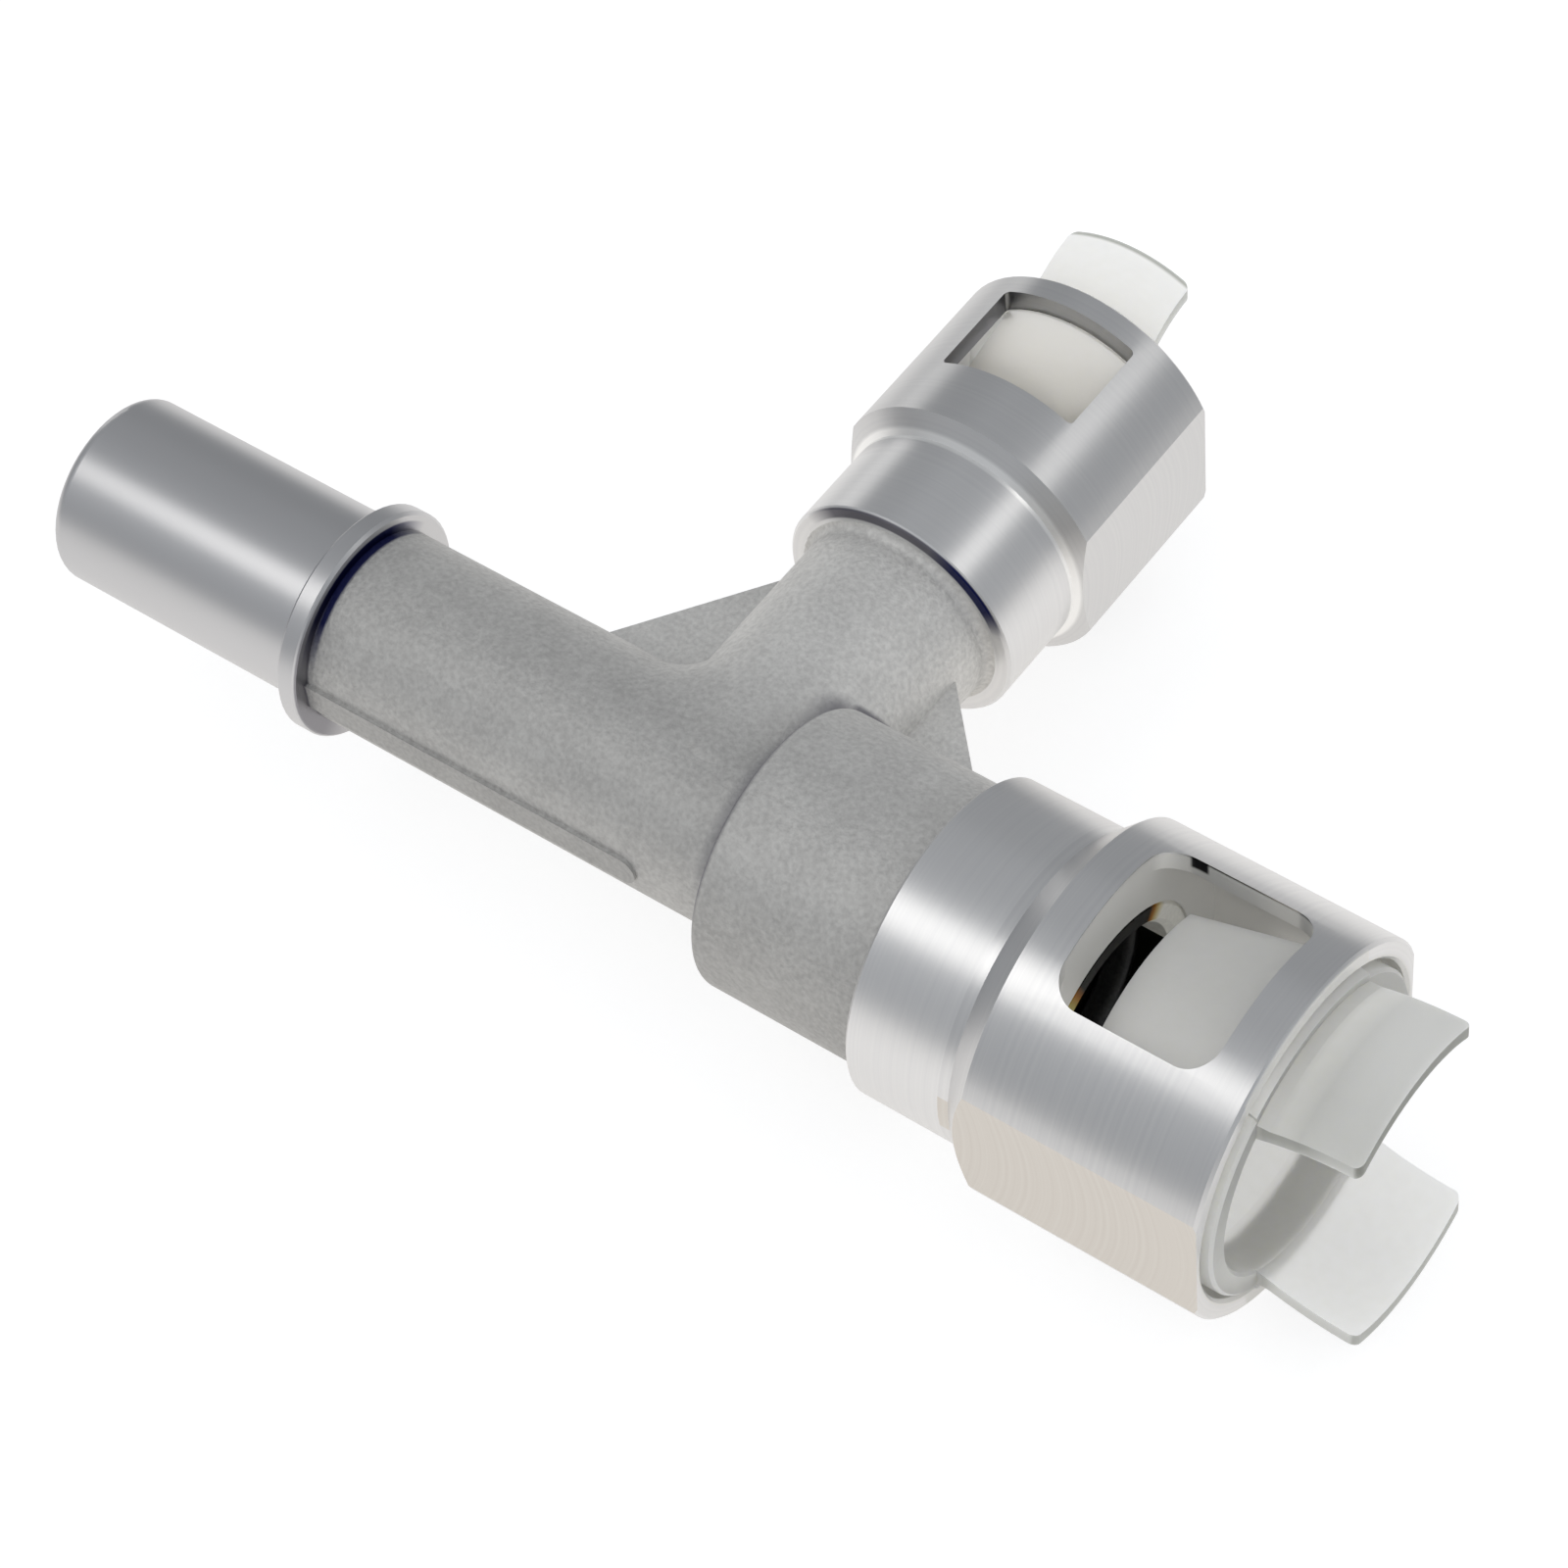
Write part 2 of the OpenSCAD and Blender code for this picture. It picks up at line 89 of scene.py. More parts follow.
def put_math(tree, operation, first, second=None, clamp=False):
    node = tree.nodes.new("ShaderNodeMath")
    node.operation = operation
    node.use_clamp = clamp
    for place, value in enumerate((first, second)):
        if value is None:
            continue
        if isinstance(value, (int, float)):
            node.inputs[place].default_value = value
        else:
            tree.links.new(value, node.inputs[place])
    return node.outputs[0]


def put_mix(tree, factor, first, second):
    node = tree.nodes.new("ShaderNodeMix")
    node.data_type = "RGBA"
    for place, value in ((0, factor), (6, first), (7, second)):
        if isinstance(value, (int, float, tuple)):
            node.inputs[place].default_value = value
        else:
            tree.links.new(value, node.inputs[place])
    return node.outputs[2]


bpy.ops.mesh.primitive_plane_add(size=floor_size, location=(cad_box[1][0] / 2, 0, cad_box[0][2]))
floor = bpy.context.object
floor.name = "floor"
table, tree, output = new_material("white_table")
paint = tree.nodes.new("ShaderNodeBsdfDiffuse")
paint.inputs["Color"].default_value = floor_colour
ray = tree.nodes.new("ShaderNodeLightPath")
seen = put_math(tree, "ADD", ray.outputs["Is Camera Ray"], ray.outputs["Is Glossy Ray"])
seen = put_math(tree, "ADD", seen, ray.outputs["Is Transmission Ray"], clamp=True)
looked_at = put_math(tree, "ADD", ray.outputs["Is Camera Ray"], ray.outputs["Is Transmission Ray"], clamp=True)
away = tree.nodes.new("ShaderNodeTexCoord")
reach = tree.nodes.new("ShaderNodeVectorMath")
reach.operation = "LENGTH"
tree.links.new(away.outputs["Object"], reach.inputs[0])
# In gloss the table glows warm, brightest near the tee and fading further off: painted light seen in its reflections.
fade = tree.nodes.new("ShaderNodeMapRange")
for label, value in (("From Min", fade_start), ("From Max", fade_end), ("To Min", reflection_glow_near), ("To Max", reflection_glow_far)):
    fade.inputs[label].default_value = value
tree.links.new(reach.outputs["Value"], fade.inputs["Value"])
glow = tree.nodes.new("ShaderNodeEmission")
tree.links.new(put_math(tree, "MAXIMUM", fade.outputs["Result"], put_math(
    tree, "MULTIPLY", looked_at, floor_white)), glow.inputs["Strength"])
tree.links.new(put_mix(tree, looked_at, reflection_warmth, white), glow.inputs["Color"])
blend = tree.nodes.new("ShaderNodeMixShader")
tree.links.new(put_math(tree, "MULTIPLY", seen, floor_glow), blend.inputs[0])
tree.links.new(paint.outputs[0], blend.inputs[1])
tree.links.new(glow.outputs[0], blend.inputs[2])
tree.links.new(blend.outputs[0], output.inputs["Surface"])
floor.data.materials.append(table)

studio = bpy.data.worlds.new("studio")
bpy.context.scene.world = studio
studio.use_nodes = True
sky = studio.node_tree
sky_light = sky.nodes["Background"]
sky_light.inputs["Color"].default_value = sky_colour
sky_ray = sky.nodes.new("ShaderNodeLightPath")
sky_place = sky.nodes.new("ShaderNodeTexCoord")
slope = sky.nodes.new("ShaderNodeVectorMath")
slope.operation = "DOT_PRODUCT"
slope.inputs[1].default_value = sky_darker
sky.links.new(sky_place.outputs["Generated"], slope.inputs[0])
patches = sky.nodes.new("ShaderNodeTexNoise")
patches.inputs["Scale"].default_value = sky_patch_scale
sky.links.new(sky_place.outputs["Generated"], patches.inputs["Vector"])
uneven = put_math(sky, "MULTIPLY", put_math(sky, "SUBTRACT", patches.outputs["Fac"], 0.5), sky_patch_depth)
uneven = put_math(sky, "SUBTRACT", uneven, put_math(sky, "MULTIPLY", slope.outputs["Value"], sky_slope_depth))
sky_seen = put_math(sky, "MULTIPLY", sky_ray.outputs["Is Glossy Ray"], put_math(
    sky, "ADD", uneven, sky_gloss - sky_level))
sky.links.new(put_math(sky, "MAXIMUM", sky_ray.outputs["Is Camera Ray"], put_math(
    sky, "ADD", sky_seen, sky_level)), sky_light.inputs["Strength"])


# Lamps
# Two round soft boxes, one behind the spigot and one beyond the small socket,
# and a low white card on the branch's left.
lamp_distance = 1.2
lamp_colour = (1.0, 0.98, 0.95)
aim = Vector((0.04, 0.02, 0))
# Each has its bearing from +Y towards +X and its height in degrees, the angle
# that it fills as the tee sees it, and its brightness beside a white of 1.
lamps = {
    "key": (220.5, 51, 26, 1.42),
    "rim": (52, 42, 18, 1.3),
    "card": (298, 9, 22, 0.65),
}
# The power of a disk is its brightness times pi times its area.
for name, (bearing, height, fills, brightness) in lamps.items():
    lamp = bpy.data.objects.new(name, bpy.data.lights.new(name, "AREA"))
    radius = lamp_distance * math.tan(math.radians(fills / 2))
    lamp.data.shape = "DISK"
    lamp.data.size = 2 * radius
    lamp.data.energy = brightness * math.pi * (math.pi * radius ** 2)
    lamp.data.color = lamp_colour
    bearing, height = math.radians(bearing), math.radians(height)
    away = Vector((math.sin(bearing) * math.cos(height), math.cos(bearing) * math.cos(height), math.sin(height)))
    lamp.location = aim + away * lamp_distance
    lamp.rotation_euler = away.to_track_quat("Z", "Y").to_euler()
    bpy.context.collection.objects.link(lamp)


# Tee casting
# One aluminium die casting: its tubes and barrel keep the fine blasted skin,
# and the spigot, the necks, the heads and the bores are turned bright.
branch_x = 0.0425
bead_end = 0.0022
barrel_start = 0.0493
run_neck_x = 0.0676
run_head_x = 0.0775
branch_neck_y = 0.028
branch_step_y = 0.0384
face_slack = 1e-5

cast_colour = (0.60, 0.592, 0.572, 1)
cast_dark = (0.475, 0.467, 0.452, 1)
cast_metallic = 0.65
cast_roughness = 0.58
cast_grain = 0.0005
cast_mottle = 0.004
grain_share = 0.75
shade_span = (0.35, 0.65)
# Painted light and painted shade on the blasted skin, set by place
barrel_flank = (-0.0135, -0.009)
barrel_run_in = 0.004
barrel_painted_light = 0.08
barrel_painted_shade = 0.12
branch_rise = (0.001, 0.013)
branch_painted_light = 0.34
pad_end = barrel_start - 0.001
pad_face = -0.01
pad_painted_shade = 0.22

turned_colour = (0.69, 0.69, 0.69, 1)
turned_dark = (0.66, 0.66, 0.665, 1)
# Lighter copies of the turned colour for the necks and heads and a darker one for the spigot: painted light and
# painted shade
neck_painted_light = (0.775, 0.775, 0.775, 1)
neck_painted_light_dark = (0.74, 0.74, 0.745, 1)
# A painted highlight for a band at the small socket's step
step_highlight_colour = (0.97, 0.97, 0.96, 1)
spigot_painted_shade = (0.62, 0.62, 0.63, 1)
head_painted_light = (0.74, 0.74, 0.74, 1)
head_painted_light_dark = (0.70, 0.70, 0.705, 1)
# A warm painted reflection for the large head's flat facing -Y
flat_reflection_colour = (0.67, 0.64, 0.595, 1)
flat_reflection_dark = (0.64, 0.605, 0.56, 1)
turned_roughness = 0.32
head_roughness = 0.28
tool_pitch = 0.0004
tool_span = (0.3, 0.7)
tool_depth = 0.006
bump_depth = 0.00012


def grain_group():
    group = bpy.data.node_groups.new("surface_grain", "ShaderNodeTree")
    face = group.interface
    for label, value in (("Grain", 0.0004), ("Mottle", 0.004)):
        face.new_socket(label, in_out="INPUT", socket_type="NodeSocketFloat").default_value = value
    face.new_socket("Height", in_out="OUTPUT", socket_type="NodeSocketFloat")
    face.new_socket("Shade", in_out="OUTPUT", socket_type="NodeSocketFloat")
    entry = group.nodes.new("NodeGroupInput")
    leave = group.nodes.new("NodeGroupOutput")
    place = group.nodes.new("ShaderNodeTexCoord")
    noises = []
    for label, detail in (("Grain", 4), ("Mottle", 2)):
        noise = group.nodes.new("ShaderNodeTexNoise")
        noise.inputs["Detail"].default_value = detail
        group.links.new(place.outputs["Object"], noise.inputs["Vector"])
        group.links.new(put_math(group, "DIVIDE", 1, entry.outputs[label]), noise.inputs["Scale"])
        noises.append(noise.outputs["Fac"])
    group.links.new(noises[0], leave.inputs["Height"])
    grain = put_math(group, "MULTIPLY", noises[0], grain_share)
    mottle = put_math(group, "MULTIPLY", noises[1], 1 - grain_share)
    group.links.new(put_math(group, "ADD", grain, mottle), leave.inputs["Shade"])
    return group


surface_grain = grain_group()


def put_grain(tree, grain, mottle):
    node = tree.nodes.new("ShaderNodeGroup")
    node.node_tree = surface_grain
    node.inputs["Grain"].default_value = grain
    node.inputs["Mottle"].default_value = mottle
    return node


def put_axes(tree, vector):
    node = tree.nodes.new("ShaderNodeSeparateXYZ")
    tree.links.new(vector, node.inputs[0])
    return node.outputs


def put_ramp(tree, value, low, high):
    node = tree.nodes.new("ShaderNodeMapRange")
    node.inputs["From Min"].default_value = low
    node.inputs["From Max"].default_value = high
    tree.links.new(value, node.inputs["Value"])
    return node.outputs["Result"]


def put_product(tree, *factors):
    product = factors[0]
    for factor in factors[1:]:
        product = put_math(tree, "MULTIPLY", product, factor)
    return product


def put_choice(tree, switch, when_off, when_on):
    """when_off where the switch is 0, when_on where it is 1, and a blend between"""
    off = put_math(tree, "MULTIPLY", put_math(tree, "SUBTRACT", 1, switch), when_off)
    return put_math(tree, "ADD", off, put_math(tree, "MULTIPLY", switch, when_on))


def put_distance(tree, first, second):
    """How far a point is from an axis that it lies first and second off"""
    return put_math(tree, "SQRT", put_math(
        tree, "ADD", put_math(tree, "MULTIPLY", first, first), put_math(tree, "MULTIPLY", second, second)))


def put_band(tree, value, centre, half, soft):
    off = put_math(tree, "ABSOLUTE", put_math(tree, "SUBTRACT", value, centre))
    return put_ramp(tree, off, half + soft, half)


def put_arc(tree, up, side, radius, centre, half, soft):
    """1 within half degrees of the direction centre degrees from +Z, fading over soft"""
    tilt = math.radians(centre)
    toward = put_math(tree, "ADD", put_math(tree, "MULTIPLY", up, math.cos(tilt)),
                      put_math(tree, "MULTIPLY", side, math.sin(tilt)))
    return put_ramp(tree, put_math(tree, "DIVIDE", toward, radius),
                    math.cos(math.radians(half + soft)), math.cos(math.radians(half)))


def put_bump(tree, height, distance):
    node = tree.nodes.new("ShaderNodeBump")
    node.inputs["Strength"].default_value = 1
    node.inputs["Distance"].default_value = distance
    tree.links.new(height, node.inputs["Height"])
    return node.outputs["Normal"]


aluminium, tree, output = new_material("cast_aluminium")
shader = tree.nodes.new("ShaderNodeBsdfPrincipled")
place = tree.nodes.new("ShaderNodeTexCoord")
at_x, at_y, at_z = put_axes(tree, place.outputs["Object"])
face_x, face_y = put_axes(tree, place.outputs["Normal"])[:2]
off_axis = put_math(tree, "SUBTRACT", at_x, branch_x)
run_radius = put_distance(tree, at_y, at_z)
branch_radius = put_distance(tree, off_axis, at_z)
on_branch = put_math(tree, "GREATER_THAN", at_y, branch_neck_y - face_slack)
on_socket = put_math(tree, "GREATER_THAN", at_x, run_neck_x)
on_head = put_math(tree, "GREATER_THAN", at_x, run_head_x)
on_spigot = put_math(tree, "LESS_THAN", at_x, bead_end + face_slack)
turned = put_math(tree, "MAXIMUM", put_math(tree, "MAXIMUM", on_socket, on_spigot), on_branch)

# The blasted skin is painted lighter on the barrel and more so towards the branch,
# as painted light, and darker on the barrel's flank away from the branch and on the
# seam pad's face, as painted shade.
grain = put_grain(tree, cast_grain, cast_mottle)
skin = put_mix(tree, put_ramp(tree, grain.outputs["Shade"], *shade_span), cast_dark, cast_colour)
barrel_painted_tone = put_choice(tree, put_ramp(tree, at_y, *barrel_flank), -barrel_painted_shade, barrel_painted_light)
on_barrel = put_ramp(tree, at_x, barrel_start - barrel_run_in, barrel_start)
on_pad = put_product(tree, put_math(tree, "LESS_THAN", at_x, pad_end),
                     put_ramp(tree, at_y, pad_face + 0.0001, pad_face - 0.0001))
light = put_math(tree, "MULTIPLY", barrel_painted_tone, on_barrel)
light = put_math(tree, "ADD", light, put_math(tree, "MULTIPLY", put_ramp(tree, at_y, *branch_rise), branch_painted_light))
light = put_math(tree, "SUBTRACT", light, put_math(tree, "MULTIPLY", on_pad, pad_painted_shade))
brighter = tree.nodes.new("ShaderNodeVectorMath")
brighter.operation = "SCALE"
tree.links.new(skin, brighter.inputs[0])
tree.links.new(put_math(tree, "ADD", light, 1), brighter.inputs["Scale"])
skin = brighter.outputs[0]

# The turned ends have the rings of the tool, which run round the run's axis
# or the branch's, and on the flats they show as arcs.
tool_path = put_choice(tree, on_branch, put_math(tree, "ADD", at_x, run_radius),
                       put_math(tree, "ADD", at_y, branch_radius))
marks = tree.nodes.new("ShaderNodeTexNoise")
marks.noise_dimensions = "1D"
marks.inputs["Scale"].default_value = 1 / tool_pitch
marks.inputs["Detail"].default_value = 3
tree.links.new(tool_path, marks.inputs["W"])
ringed = put_ramp(tree, marks.outputs["Fac"], *tool_span)
on_neck = put_math(tree, "MAXIMUM", on_socket, put_math(tree, "MULTIPLY", on_branch, put_math(
    tree, "LESS_THAN", at_y, branch_step_y)))
on_step_highlight = put_product(tree, on_branch, put_band(tree, at_y, branch_step_y, half=0.0003, soft=0.0002))
on_near_flat = put_product(tree, on_head, put_math(tree, "LESS_THAN", face_y, -0.99))
# Over the turned colour go painted shade on the spigot, painted light on the necks and heads, a painted highlight at
# the step and a painted reflection on the flat.
bright = put_mix(tree, ringed, turned_dark, turned_colour)
for mask, colour in (
        (on_spigot, spigot_painted_shade),
        (on_neck, put_mix(tree, ringed, neck_painted_light_dark, neck_painted_light)),
        (on_step_highlight, step_highlight_colour),
        (on_head, put_mix(tree, ringed, head_painted_light_dark, head_painted_light)),
        (on_near_flat, put_mix(tree, ringed, flat_reflection_dark, flat_reflection_colour))):
    bright = put_mix(tree, mask, bright, colour)
metal = put_mix(tree, turned, skin, bright)

# At the roots of the bead and of the small socket's neck a dark blue line of
# painted shade lies on the upper side, and the bead's back and the flange's root are painted dark as shade.
bead_root_radius = 0.0100
bead_back_share = 0.75
flange_root_radius = 0.0118
blue_painted_shade = (0.012, 0.016, 0.09, 1)
root_painted_shade = (0.17, 0.165, 0.19, 1)
bead_root = put_product(
    tree, put_band(tree, at_x, bead_end + 0.0002, half=0.0004, soft=0.0003),
    put_band(tree, run_radius, bead_root_radius, half=0.0006, soft=0.0002),
    put_arc(tree, at_z, at_y, run_radius, centre=-8, half=34, soft=30))
bead_back = put_product(
    tree, put_band(tree, at_x, bead_end, half=0.0001, soft=0.0001),
    put_arc(tree, at_z, at_y, run_radius, centre=-90, half=35, soft=30), bead_back_share)
flange_root = put_product(
    tree, put_band(tree, at_y, branch_neck_y, half=0.0001, soft=0.0001),
    put_band(tree, branch_radius, flange_root_radius, half=0.0005, soft=0.0002))
flange_shade = put_product(
    tree, flange_root, put_arc(tree, at_z, off_axis, branch_radius, centre=10, half=45, soft=20))
flange_blue_shade = put_product(
    tree, flange_root, put_arc(tree, at_z, off_axis, branch_radius, centre=46, half=12, soft=14))

# The creases before the barrel and where the branch and the webs meet it are
# painted dark, as painted shade.
crease_share = 0.8
barrel_radius = 0.0140
crotch_radius = 0.0102
web_half = 0.0015
crease = put_product(
    tree, put_ramp(tree, at_x, barrel_start + 0.0007, barrel_start + 0.0003),
    put_ramp(tree, at_x, barrel_start - 0.0028, barrel_start - 0.0008),
    put_ramp(tree, run_radius, barrel_radius + 0.0008, barrel_radius - 0.0004),
    put_arc(tree, at_z, at_y, run_radius, centre=-5, half=55, soft=25))
joint = put_product(
    tree, put_math(tree, "MAXIMUM", put_band(tree, branch_radius, crotch_radius, half=0.0004, soft=0.0006),
                   put_band(tree, at_z, 0, half=web_half, soft=0.0004)),
    put_band(tree, run_radius, barrel_radius, half=0.0002, soft=0.0004), put_ramp(tree, at_y, 0.0005, 0.0015),
    put_ramp(tree, at_x, barrel_start - 0.0004, barrel_start + 0.0004))
crease_painted_shade = put_product(tree, put_math(tree, "MAXIMUM", crease, joint), crease_share)

# Inside the large socket's head the milled walls are pale and dull, with one
# dark spot in the far corner of the upper window, a painted reflection of the bushing.
inside_start = 0.083
bore_radius = 0.0168
window_radius = 0.0181
window_half = 0.00945
bore_metallic = 0.35
bore_colour = (0.74, 0.73, 0.70, 1)
spot_x = 0.0881
spot_z = 0.0151
spot_y = 0.008
spot_half = 0.0007
dark_reflection_colour = (0.012, 0.012, 0.014, 1)
in_window = put_product(tree, put_math(tree, "LESS_THAN", run_radius, window_radius),
                        put_math(tree, "LESS_THAN", put_math(tree, "ABSOLUTE", at_y), window_half))
inside = put_product(
    tree, put_math(tree, "MAXIMUM", put_math(tree, "LESS_THAN", run_radius, bore_radius), in_window),
    put_math(tree, "GREATER_THAN", at_x, inside_start))
# The dark spot is a painted reflection
spot = put_product(
    tree, put_band(tree, at_x, spot_x, spot_half, soft=0.0003), put_band(tree, at_z, spot_z, spot_half, soft=0.0003),
    put_math(tree, "LESS_THAN", face_y, -0.5), put_math(tree, "GREATER_THAN", at_y, spot_y))

# In the small socket's windows the walls towards the spigot are painted dark, as painted shade.
small_window_y = 0.0425
small_window_z = 0.006
small_wall_radius = 0.01265
small_wall_z = 0.0085
wall_painted_shade = (0.17, 0.17, 0.18, 1)
beside_window = put_product(tree, put_math(tree, "LESS_THAN", branch_radius, small_wall_radius),
                            put_math(tree, "GREATER_THAN", at_z, small_wall_z))
wall = put_product(
    tree, put_math(tree, "GREATER_THAN", at_y, small_window_y),
    put_math(tree, "GREATER_THAN", put_math(tree, "ABSOLUTE", at_z), small_window_z),
    put_math(tree, "MAXIMUM", put_math(tree, "GREATER_THAN", face_x, 0.9), beside_window),
    put_math(tree, "LESS_THAN", off_axis, 0))

# Mix in the painted shade, the painted highlights and reflection, and the pale bore
for mask, colour in (
        (bead_root, blue_painted_shade), (bead_back, root_painted_shade), (flange_shade, root_painted_shade), (flange_blue_shade, blue_painted_shade),
        (crease_painted_shade, root_painted_shade), (inside, bore_colour), (spot, dark_reflection_colour), (wall, wall_painted_shade)):
    metal = put_mix(tree, mask, metal, colour)
tree.links.new(metal, shader.inputs["Base Color"])
tree.links.new(put_choice(tree, inside, put_choice(
    tree, turned, cast_metallic, 1), bore_metallic), shader.inputs["Metallic"])
tree.links.new(put_choice(tree, on_head, put_choice(
    tree, turned, cast_roughness, turned_roughness), head_roughness), shader.inputs["Roughness"])
relief = put_choice(tree, turned, grain.outputs["Height"], put_math(
    tree, "MULTIPLY", marks.outputs["Fac"], tool_depth))
tree.links.new(put_bump(tree, relief, bump_depth), shader.inputs["Normal"])
tree.links.new(shader.outputs[0], output.inputs["Surface"])


def dress(node, material):
    mesh = nodes_of[node].data
    if mesh.materials:
        mesh.materials[0] = material
    else:
        mesh.materials.append(material)


dress("tee_body", aluminium)


# O-rings
# Two black rubber rings in each socket, smooth from the mould, with a faint
# bloom. They are pressed between the pipe and the wall of the seal bore.
rubber_colour = (0.012, 0.012, 0.012, 1)
rubber_bloom = (0.03, 0.03, 0.03, 1)
rubber_grain = 0.0003
rubber_mottle = 0.003
moulded_bump = 0.00001
rubber, tree, output = new_material("black_rubber")
shader = tree.nodes.new("ShaderNodeBsdfPrincipled")
grain = put_grain(tree, rubber_grain, rubber_mottle)
tree.links.new(put_mix(
    tree, put_ramp(tree, grain.outputs["Shade"], *shade_span), rubber_colour, rubber_bloom),
    shader.inputs["Base Color"])
shader.inputs["Roughness"].default_value = 0.45
tree.links.new(put_bump(tree, grain.outputs["Height"], moulded_bump), shader.inputs["Normal"])
tree.links.new(shader.outputs[0], output.inputs["Surface"])
for node in ("run_inner_o_ring", "run_outer_o_ring", "branch_inner_o_ring", "branch_outer_o_ring"):
    dress(node, rubber)


# Spacers and bushings
# Rings moulded in a dark amber plastic, which hold the O-rings in each socket.
# They are near black; on the upper half of the large socket's rings, amber, then
# olive, then pale are painted in by angle towards the sides of the upper window, as painted window light.
amber_grain = 0.0005
amber_mottle = 0.004
amber_reach = 60
black_amber = (0.002, 0.002, 0.001, 1)
amber_bloom = (0.01, 0.008, 0.005, 1)
bloom_span = (0.3, 0.9)
bloom_share = 0.2
lit_z = 0.001
lit_x = 0.078
# The steps go by the angle in degrees from the middle of the upper window
# towards +Y.
amber_window_light_steps = (
    (-38, (0.62, 0.60, 0.52, 1)), (-31, (0.50, 0.42, 0.12, 1)), (-26, (0.34, 0.13, 0.005, 1)),
    (-21, black_amber), (33, black_amber), (37, (0.32, 0.12, 0.005, 1)),
    (41, (0.60, 0.50, 0.25, 1)), (46, (0.86, 0.84, 0.77, 1)))
amber, tree, output = new_material("dark_amber_plastic")
shader = tree.nodes.new("ShaderNodeBsdfPrincipled")
grain = put_grain(tree, amber_grain, amber_mottle)
place = tree.nodes.new("ShaderNodeTexCoord")
at_x, at_y, at_z = put_axes(tree, place.outputs["Object"])
lit = put_product(tree, put_math(tree, "GREATER_THAN", at_z, lit_z), put_math(tree, "GREATER_THAN", at_x, lit_x))
angle = put_math(tree, "ARCTAN2", at_y, at_z)
angle = put_math(tree, "DIVIDE", put_math(tree, "ADD", angle, math.radians(amber_reach)),
                 math.radians(2 * amber_reach))
steps = tree.nodes.new("ShaderNodeValToRGB")
while len(steps.color_ramp.elements) < len(amber_window_light_steps):
    steps.color_ramp.elements.new(0.5)
for element, (degrees, colour) in zip(steps.color_ramp.elements, amber_window_light_steps):
    element.position = (degrees + amber_reach) / (2 * amber_reach)
    element.color = colour
tree.links.new(angle, steps.inputs["Fac"])
# Painted window light on the large socket's upper rings
window_lit_amber = put_mix(tree, lit, black_amber, steps.outputs["Color"])
clouds = put_math(tree, "MULTIPLY", put_ramp(tree, grain.outputs["Shade"], *bloom_span), bloom_share)
tree.links.new(put_mix(tree, clouds, window_lit_amber, amber_bloom), shader.inputs["Base Color"])
shader.inputs["Roughness"].default_value = 0.5
shader.inputs["Specular IOR Level"].default_value = 0.15
tree.links.new(put_bump(tree, grain.outputs["Height"], moulded_bump), shader.inputs["Normal"])
tree.links.new(shader.outputs[0], output.inputs["Surface"])
for node in ("run_spacer", "run_bushing", "branch_spacer", "branch_bushing"):
    dress(node, amber)


# Retainers
# Natural nylon mouldings, milky and translucent, with ring, latch legs and
# squeeze tabs in one piece. They snap into the heads from the mouths, and the
# legs catch in the windows.
nylon_colour = (0.93, 0.92, 0.885, 1)
nylon_dark = (0.90, 0.89, 0.85, 1)
nylon_shade_grey = (0.56, 0.56, 0.54, 1)
nylon_warm = (0.72, 0.69, 0.63, 1)
nylon_edge_shade = (0.30, 0.305, 0.28, 1)
nylon_grain = 0.0012
nylon_mottle = 0.006
nylon_bump = 0.00002
large_start = 0.07
grey_along = (0.074, 0.114)
grey_up = (-0.006, 0.006)
warm_along = (0.068, 0.052)
tab_root_x = 0.1062
tab_root_painted_light = 0.8
tab_x = 0.1057
tab_y = 0.0602
tip_y = cad_box[1][1]
edge_fade = 0.0004
ring_edge = 0.4
nylon, tree, output = new_material("natural_nylon")
shader = tree.nodes.new("ShaderNodeBsdfPrincipled")
place = tree.nodes.new("ShaderNodeTexCoord")
at_x, at_y, at_z = put_axes(tree, place.outputs["Object"])
face_x, face_y, face_z = put_axes(tree, place.outputs["Normal"])
large = put_math(tree, "GREATER_THAN", at_x, large_start)
small = put_math(tree, "SUBTRACT", 1, large)

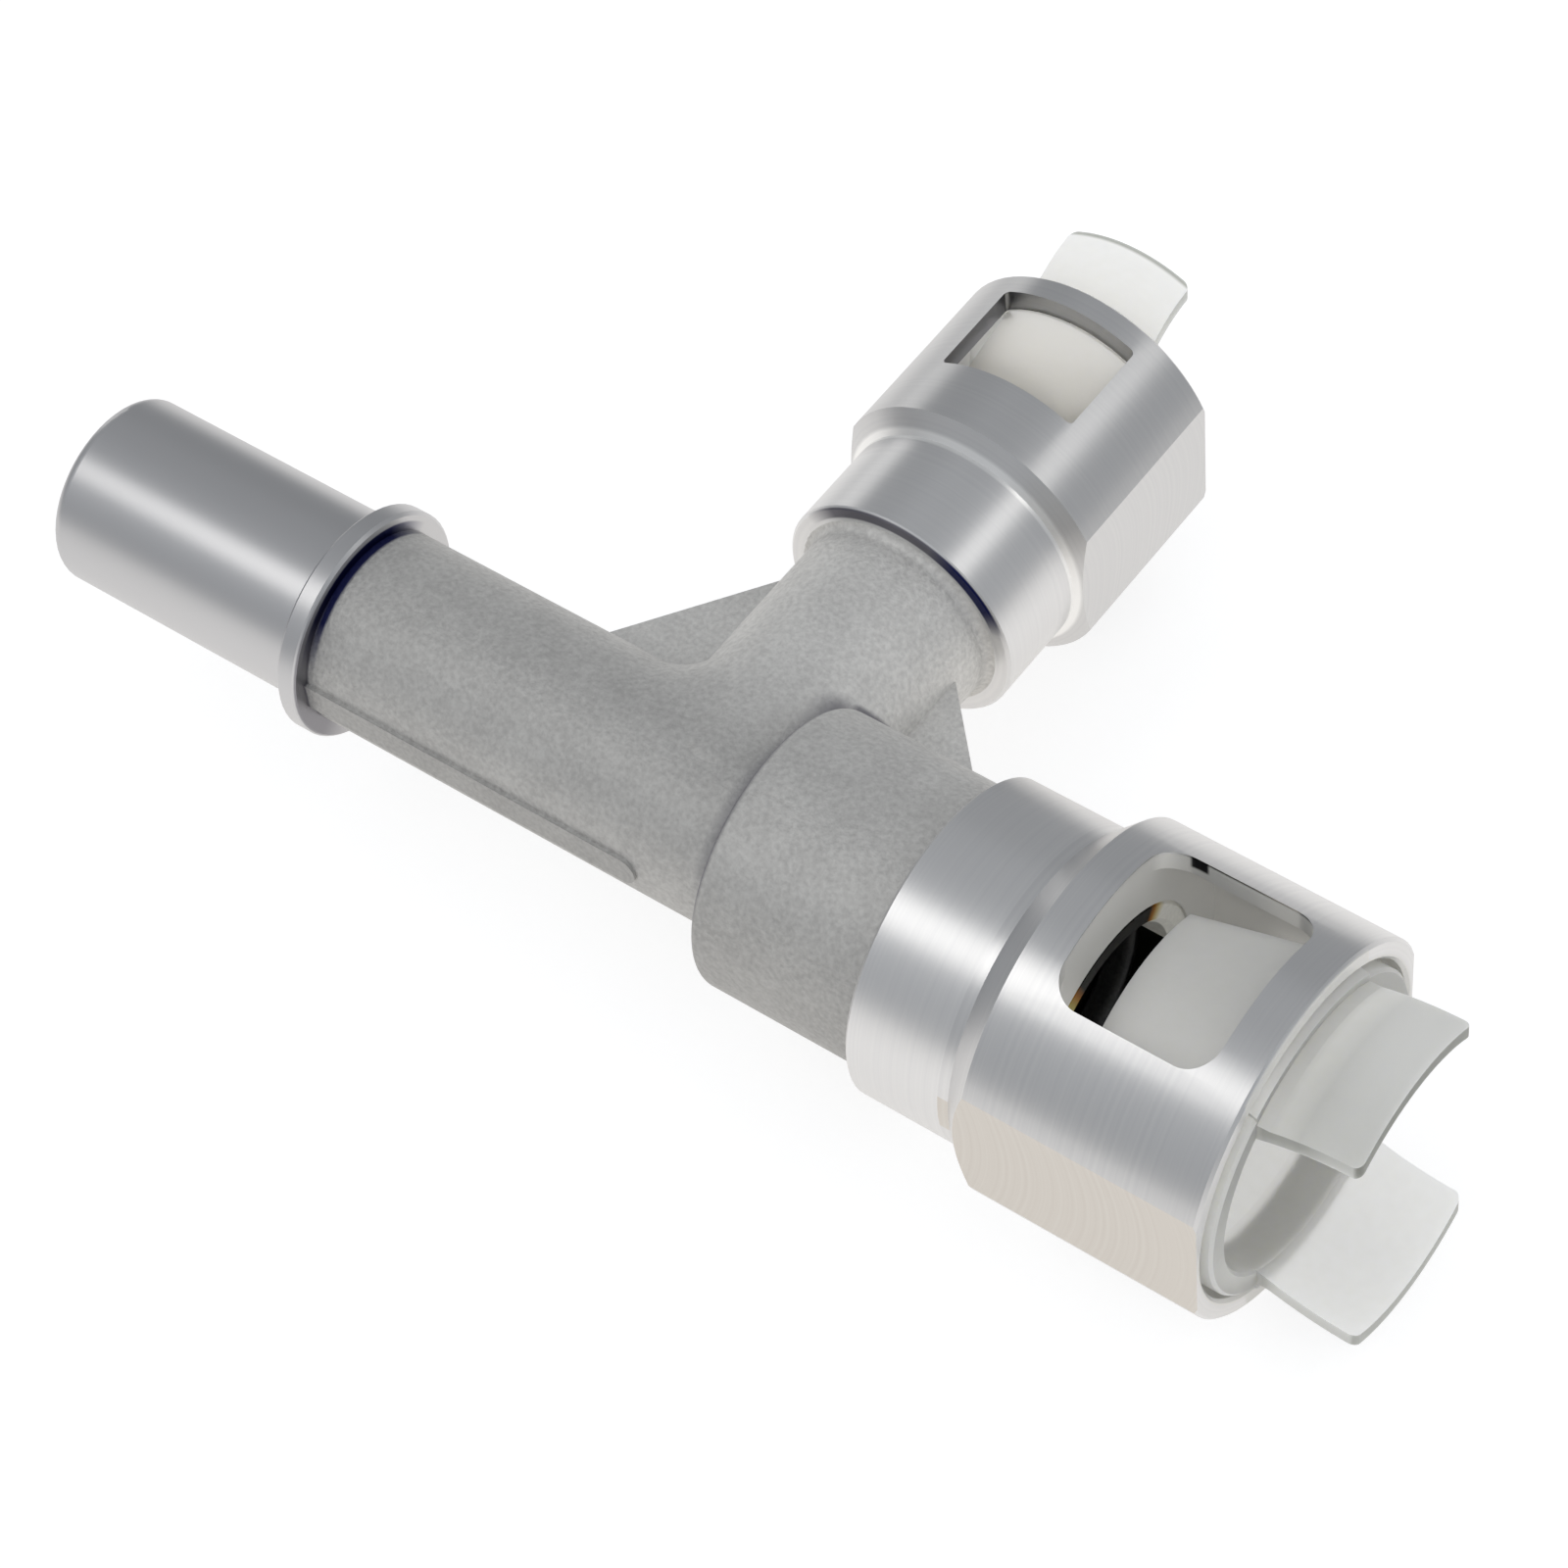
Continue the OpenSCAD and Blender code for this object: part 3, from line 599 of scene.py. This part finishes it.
# The upper half of the large one is painted greyer, as painted shade, but not at
# the root of its tab, which is painted lighter as painted light; and the small one is warmer towards its ring.
grain = put_grain(tree, nylon_grain, nylon_mottle)
milk = put_mix(tree, put_ramp(tree, grain.outputs["Shade"], *shade_span), nylon_dark, nylon_colour)
tab_root = put_math(tree, "MULTIPLY", put_band(tree, at_x, tab_root_x, half=0.0012, soft=0.0022), tab_root_painted_light)
greyer = put_product(tree, put_ramp(tree, at_x, *grey_along), put_ramp(tree, at_z, *grey_up), put_math(
    tree, "SUBTRACT", 1, tab_root))
milk = put_mix(tree, greyer, milk, nylon_shade_grey)
milk = put_mix(tree, put_math(tree, "MULTIPLY", small, put_ramp(tree, at_y, *warm_along)), milk, nylon_warm)

# The narrow faces round each tab are painted darker, as painted shade, and those of the rings a little.
sideways = put_choice(tree, large, put_math(tree, "SUBTRACT", at_x, branch_x), at_y)
side_face = put_choice(tree, large, face_x, face_y)
outward = put_math(tree, "ADD", put_math(tree, "MULTIPLY", sideways, side_face),
                   put_math(tree, "MULTIPLY", at_z, face_z))
outward = put_math(tree, "DIVIDE", put_math(tree, "ABSOLUTE", outward), put_distance(tree, sideways, at_z))
tip = put_product(tree, put_ramp(tree, at_y, tip_y - 0.0006, tip_y - 0.0003), put_math(tree, "GREATER_THAN", at_z, 0))
on_tab = put_math(tree, "MAXIMUM", put_ramp(tree, at_x, tab_x, tab_x + edge_fade),
                  put_ramp(tree, at_y, tab_y, tab_y + edge_fade))
edge = put_product(tree, put_math(tree, "MAXIMUM", put_ramp(tree, outward, 0.75, 0.45), tip),
                   put_choice(tree, on_tab, ring_edge, 1))
tree.links.new(put_mix(tree, edge, milk, nylon_edge_shade), shader.inputs["Base Color"])
shader.inputs["Roughness"].default_value = 0.4
shader.inputs["IOR"].default_value = 1.5
shader.inputs["Transmission Weight"].default_value = 0.5
shader.inputs["Subsurface Weight"].default_value = 1
shader.inputs["Subsurface Radius"].default_value = (1, 1, 0.85)
shader.inputs["Subsurface Scale"].default_value = 0.002
tree.links.new(put_bump(tree, grain.outputs["Height"], nylon_bump), shader.inputs["Normal"])
leaving = tree.nodes.new("ShaderNodeNewGeometry")
clear = tree.nodes.new("ShaderNodeBsdfTransparent")
blend = tree.nodes.new("ShaderNodeMixShader")
tree.links.new(leaving.outputs["Backfacing"], blend.inputs[0])
tree.links.new(shader.outputs[0], blend.inputs[1])
tree.links.new(clear.outputs[0], blend.inputs[2])
tree.links.new(blend.outputs[0], output.inputs["Surface"])
for node in ("run_retainer", "branch_retainer"):
    dress(node, nylon)
